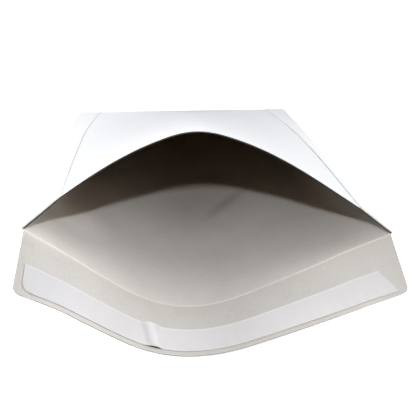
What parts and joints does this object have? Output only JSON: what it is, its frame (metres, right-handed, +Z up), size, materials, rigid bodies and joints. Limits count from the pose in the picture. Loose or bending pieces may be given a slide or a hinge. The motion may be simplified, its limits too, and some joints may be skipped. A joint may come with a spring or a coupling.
{
  "type": "rigid photo mailer",
  "caption": "Rigid board mailer lying mouth open, its panels bowed apart, with a closure flap and a peel-and-seal strip.",
  "frame": {"origin": "middle of the bounding box, on the surface that the mailer lies on", "axes": "+Y from the open mouth to the folded end, +Z up, +X to the right when looking in at the mouth"},
  "size_m": [0.25, 0.3468, 0.1172],
  "materials": {
    "coated_board": "matte",
    "seal_adhesive": "satin",
    "liner_paper": "satin"
  },
  "bodies": {
    "root": {"mailer_board": "coated_board", "adhesive_strip": "seal_adhesive", "release_liner": "liner_paper"}
  },
  "joints": []
}
